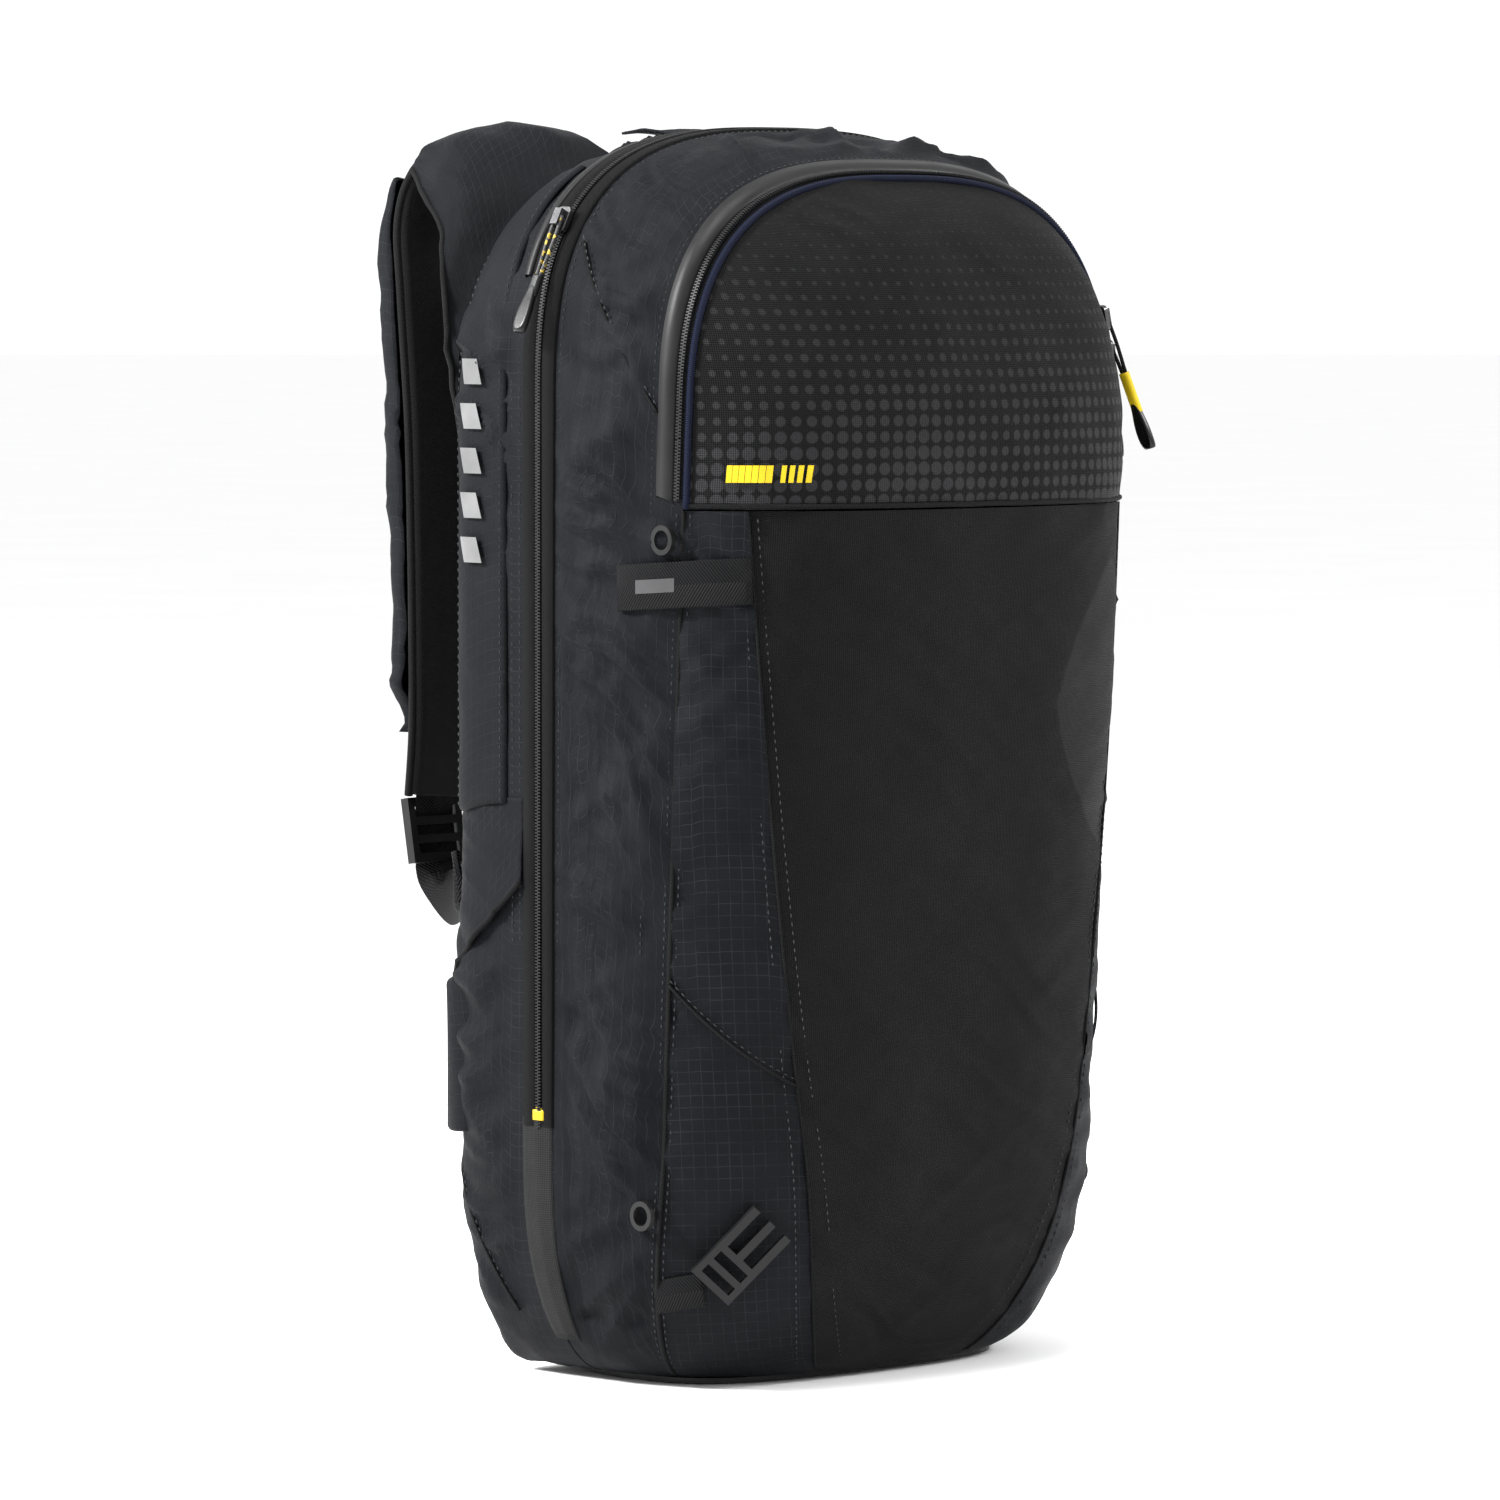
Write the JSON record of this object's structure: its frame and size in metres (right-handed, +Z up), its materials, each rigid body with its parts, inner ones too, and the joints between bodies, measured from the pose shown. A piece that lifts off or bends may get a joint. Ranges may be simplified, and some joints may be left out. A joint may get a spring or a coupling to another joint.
{
  "type": "avalanche airbag backpack",
  "caption": "Upright ski backpack with an airbag base unit, a zip-on booster, padded shoulder straps, hip belt and an electric fan inside.",
  "frame": {"origin": "underside of the base plate, below the main zip's plane, midway across the width", "axes": "+Z up, -Y towards the front panel, +Y towards the wearer's back, -X towards the wearer's left strap"},
  "size_m": [0.3431, 0.3393, 0.5932],
  "materials": {
    "ripstop": "matt charcoal ripstop nylon",
    "black_weave": "black ballistic weave",
    "foam_mesh": "black knitted face over foam",
    "zip": "coated zip tape and coil",
    "black_plastic": "moulded satin black",
    "webbing": "woven black webbing",
    "yellow_plastic": "satin yellow",
    "steel": "plain steel",
    "aluminium": "mill finish",
    "airbag_fabric": "coated orange nylon",
    "valve_rubber": "matt rubber",
    "battery": "shrink-wrapped dark blue"
  },
  "bodies": {
    "pack": {"base_plate": "black_weave", "base_shell": "ripstop", "base_divider": "black_weave", "booster_gusset": "ripstop", "booster_side_panel": "ripstop", "front_panel": "black_weave", "main_zip_tapes": "zip", "main_zip_coil": "zip", "cover_zip_tape": "zip", "pocket_zip_tape": "zip", "pocket_zip_coil": "zip", "cover_flap_left": "ripstop", "cover_flap_right": "ripstop", "frame_sheet": "black_plastic", "frame_stays": "aluminium", "back_pads": "foam_mesh", "lumbar_pad": "foam_mesh", "haul_loop": "webbing", "strap_left": "foam_mesh", "strap_right": "foam_mesh", "strap_sleeve_left": "ripstop", "strap_sleeve_right": "ripstop", "strap_yoke_left": "ripstop", "strap_yoke_right": "ripstop", "ladder_lock_left": "black_plastic", "ladder_lock_right": "black_plastic", "lower_webbing_left": "webbing", "lower_webbing_right": "webbing", "hip_wing_right": "ripstop", "hip_buckle_female": "black_plastic", "ski_webbing": "webbing", "label_loop": "black_weave", "gear_loops": "black_plastic", "airbag_folded": "airbag_fabric", "outlet_duct": "black_plastic", "fan_housing_front": "black_plastic", "fan_housing_rear": "black_plastic", "housing_screws": "steel", "shaft_bearings": "steel", "motor_can": "black_plastic", "intake_grille": "black_plastic", "check_valve_pin": "steel", "battery_pack": "battery", "controller_box": "black_plastic"},
    "flap": {"front_flap": "black_weave"},
    "main_slider": {"main_zip_slider": "black_plastic"},
    "main_pull": {"main_zip_pull": "black_plastic"},
    "pocket_slider_top": {"pocket_slider_upper": "black_plastic"},
    "pocket_pull_top": {"pocket_pull_upper": "black_plastic"},
    "pocket_slider_low": {"pocket_slider_lower": "black_plastic"},
    "pocket_pull_low": {"pocket_pull_lower": "black_plastic"},
    "rotor": {"impeller": "black_plastic", "motor_shaft": "steel"},
    "valve": {"check_valve_flap": "valve_rubber"},
    "trigger": {"trigger_handle": "black_plastic"},
    "trigger_key": {"trigger_button": "yellow_plastic"},
    "power_key": {"power_button": "yellow_plastic"},
    "left_belt": {"hip_wing_left": "ripstop", "hip_buckle_male": "black_plastic"},
    "ski_hook": {"ski_buckle": "black_plastic"}
  },
  "joints": [
    {"name": "flap_hinge", "type": "hinge", "parent": "pack", "child": "flap", "pos_m": [0, -0.151, 0.413], "axis": [1, 0, 0], "range_deg": [0, 75]},
    {"name": "main_slider_run", "type": "slide", "parent": "pack", "child": "main_slider", "axis": [-0.4622, 0, -0.8868], "range_m": [0, 0.02]},
    {"name": "main_pull_swing", "type": "hinge", "parent": "main_slider", "child": "main_pull", "pos_m": [-0.14167, 0, 0.54823], "axis": [0, 1, 0], "range_deg": [0, 60]},
    {"name": "pocket_slider_top_run", "type": "slide", "parent": "pack", "child": "pocket_slider_top", "axis": [-0.2358, 0, 0.9718], "range_m": [0, 0.012]},
    {"name": "pocket_pull_top_swing", "type": "hinge", "parent": "pocket_slider_top", "child": "pocket_pull_top", "pos_m": [0.14483, -0.0831, 0.5007], "axis": [0, -1, 0], "range_deg": [0, 60]},
    {"name": "pocket_slider_low_run", "type": "slide", "parent": "pack", "child": "pocket_slider_low", "axis": [0.066, 0, -0.9978], "range_m": [0, 0.03]},
    {"name": "pocket_pull_low_swing", "type": "hinge", "parent": "pocket_slider_low", "child": "pocket_pull_low", "pos_m": [0.14835, -0.0831, 0.48347], "axis": [0, -1, 0], "range_deg": [0, 30]},
    {"name": "rotor_spin", "type": "hinge", "parent": "pack", "child": "rotor", "pos_m": [0, 0.035, 0.27], "axis": [0, 1, 0], "continuous": true},
    {"name": "valve_hinge", "type": "hinge", "parent": "pack", "child": "valve", "pos_m": [0, 0.0496, 0.3443], "axis": [-1, 0, 0], "range_deg": [0, 65]},
    {"name": "trigger_pull", "type": "slide", "parent": "pack", "child": "trigger", "axis": [0, 0, -1], "range_m": [0, 0.015]},
    {"name": "trigger_press", "type": "slide", "parent": "trigger", "child": "trigger_key", "axis": [0, -1, 0], "range_m": [0, 0.001], "stiffness_N_per_m": 400},
    {"name": "power_press", "type": "slide", "parent": "pack", "child": "power_key", "axis": [0, 1, 0], "range_m": [0, 0.0012], "stiffness_N_per_m": 400},
    {"name": "belt_release", "type": "slide", "parent": "pack", "child": "left_belt", "axis": [-1, 0, 0], "range_m": [0, 0.03]},
    {"name": "ski_hook_flip", "type": "hinge", "parent": "pack", "child": "ski_hook", "pos_m": [-0.12604, -0.08394, 0.051], "axis": [0.6277, -0.3745, -0.6824], "range_deg": [0, 55]}
  ]
}
